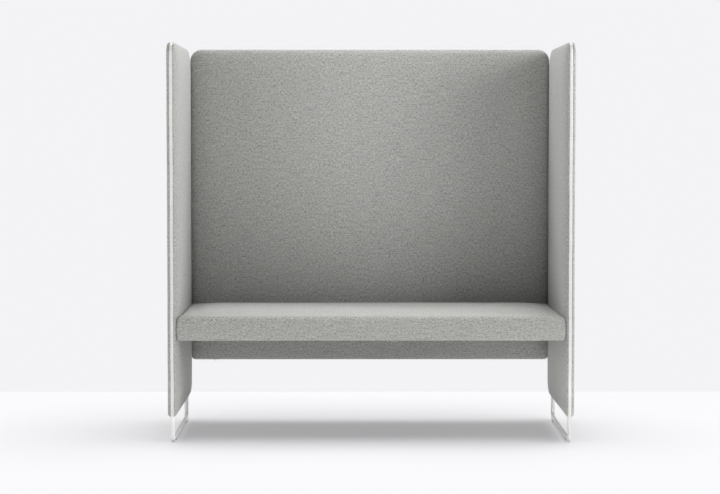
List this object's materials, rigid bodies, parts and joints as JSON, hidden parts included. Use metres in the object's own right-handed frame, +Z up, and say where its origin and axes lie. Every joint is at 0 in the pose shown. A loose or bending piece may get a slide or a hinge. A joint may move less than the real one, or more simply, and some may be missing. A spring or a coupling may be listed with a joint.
{
  "type": "two-seater sofa with high sides and back",
  "caption": "Bench sofa for public seating: padded seat between full-height upholstered side panels and a high back, zipped fabric edges, round-rod sled legs.",
  "frame": {"origin": "on the floor, in the middle of the sofa's width and depth", "axes": "+X along the seat to the sitter's left, -Y to the front, +Z up"},
  "size_m": [1.45, 0.6459, 1.425],
  "materials": {
    "grey_fabric": "woven wool melange, matte",
    "foam": "open-cell foam",
    "plywood": "raw birch plywood",
    "white_coat": "satin powder coat",
    "black_coat": "black primer",
    "zinc_steel": "zinc plated",
    "white_zip": "moulded coil on woven tape",
    "white_slider": "white lacquer",
    "glide_plastic": "nylon",
    "black_lining": "non-woven lining"
  },
  "bodies": {
    "sofa": {"seat_frame": "black_coat", "seat_board": "plywood", "seat_board_screws": "zinc_steel", "seat_foam": "foam", "seat_cover": "grey_fabric", "seat_lining": "black_lining", "back_frame": "black_coat", "back_board": "plywood", "back_board_screws": "zinc_steel", "back_front_foam": "foam", "back_rear_foam": "foam", "back_cover": "grey_fabric", "back_zip_front_stringer": "white_zip", "back_zip_rear_stringer": "white_zip", "seat_bolts": "zinc_steel", "seat_sleeves": "zinc_steel", "back_bolts": "zinc_steel", "back_sleeves": "zinc_steel", "leg_pins": "zinc_steel", "left_frame": "black_coat", "left_sled": "white_coat", "left_upper_board": "plywood", "left_lower_board": "plywood", "left_board_screws": "zinc_steel", "left_inner_foam": "foam", "left_inner_cover": "grey_fabric", "left_outer_foam": "foam", "left_outer_cover": "grey_fabric", "left_zip_inner_stringer": "white_zip", "left_zip_outer_stringer": "white_zip", "left_glides": "glide_plastic", "right_frame": "black_coat", "right_sled": "white_coat", "right_upper_board": "plywood", "right_lower_board": "plywood", "right_board_screws": "zinc_steel", "right_inner_foam": "foam", "right_inner_cover": "grey_fabric", "right_outer_foam": "foam", "right_outer_cover": "grey_fabric", "right_zip_inner_stringer": "white_zip", "right_zip_outer_stringer": "white_zip", "right_glides": "glide_plastic"},
    "left_slider": {"left_zip_slider": "white_slider"},
    "left_pull": {"left_zip_pull": "white_slider"},
    "right_slider": {"right_zip_slider": "white_slider"},
    "right_pull": {"right_zip_pull": "white_slider"},
    "back_slider": {"back_zip_slider": "white_slider"}
  },
  "joints": [
    {"name": "left_zip_slide", "type": "slide", "parent": "sofa", "child": "left_slider", "axis": [0, 0, 1], "range_m": [0, 1.22]},
    {"name": "left_pull_swing", "type": "hinge", "parent": "left_slider", "child": "left_pull", "pos_m": [-0.7088, 0.32095, 0.153], "axis": [1, 0, 0], "range_deg": [0, 170]},
    {"name": "right_zip_slide", "type": "slide", "parent": "sofa", "child": "right_slider", "axis": [0, 0, 1], "range_m": [0, 1.22]},
    {"name": "right_pull_swing", "type": "hinge", "parent": "right_slider", "child": "right_pull", "pos_m": [0.7088, 0.32095, 0.153], "axis": [1, 0, 0], "range_deg": [0, 170]},
    {"name": "back_zip_slide", "type": "slide", "parent": "sofa", "child": "back_slider", "axis": [1, 0, 0], "range_m": [0, 1.19]}
  ]
}
